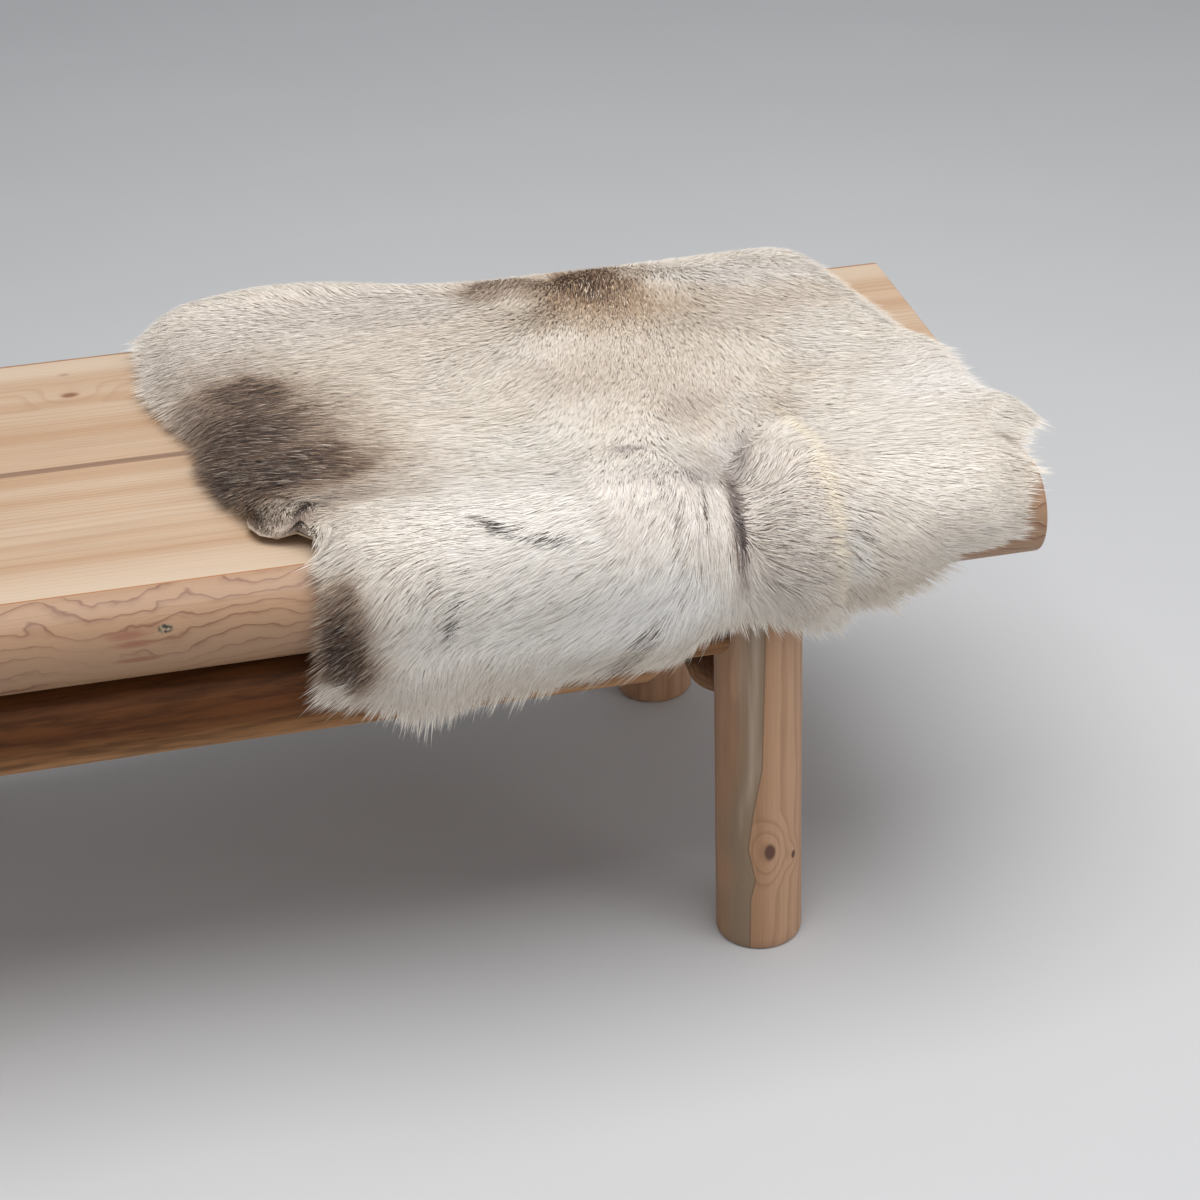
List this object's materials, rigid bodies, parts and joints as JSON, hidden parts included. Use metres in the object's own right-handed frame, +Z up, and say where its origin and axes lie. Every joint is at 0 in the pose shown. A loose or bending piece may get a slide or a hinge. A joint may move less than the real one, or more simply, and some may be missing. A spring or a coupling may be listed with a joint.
{
  "type": "reindeer hide on a log bench",
  "caption": "Pale thick-haired reindeer hide draped over a log bench, falling over its front and back edges and its end; round legs, side rails and end stretchers below.",
  "frame": {"origin": "on the floor, under the middle of the whole object", "axes": "+Z up, +X along the bench towards the end that the hide covers, +Y towards the back of the bench"},
  "size_m": [1.3162, 0.5994, 0.4995],
  "materials": {
    "pile": "dense hair, cream white with grey-brown patches, matt with a soft sheen",
    "skin": "tanned, undyed, matt",
    "seat_wood": "planed cedar, bare, matt",
    "log_wood": "peeled cedar log, bare, matt"
  },
  "bodies": {
    "root": {"hide": "pile", "seat_plank_front": "seat_wood", "seat_plank_back": "seat_wood", "side_rail_front": "log_wood", "side_rail_back": "log_wood", "end_stretcher_right": "log_wood", "end_stretcher_left": "log_wood", "leg_front_right": "log_wood", "leg_back_right": "log_wood", "leg_front_left": "log_wood", "leg_back_left": "log_wood"}
  },
  "joints": []
}
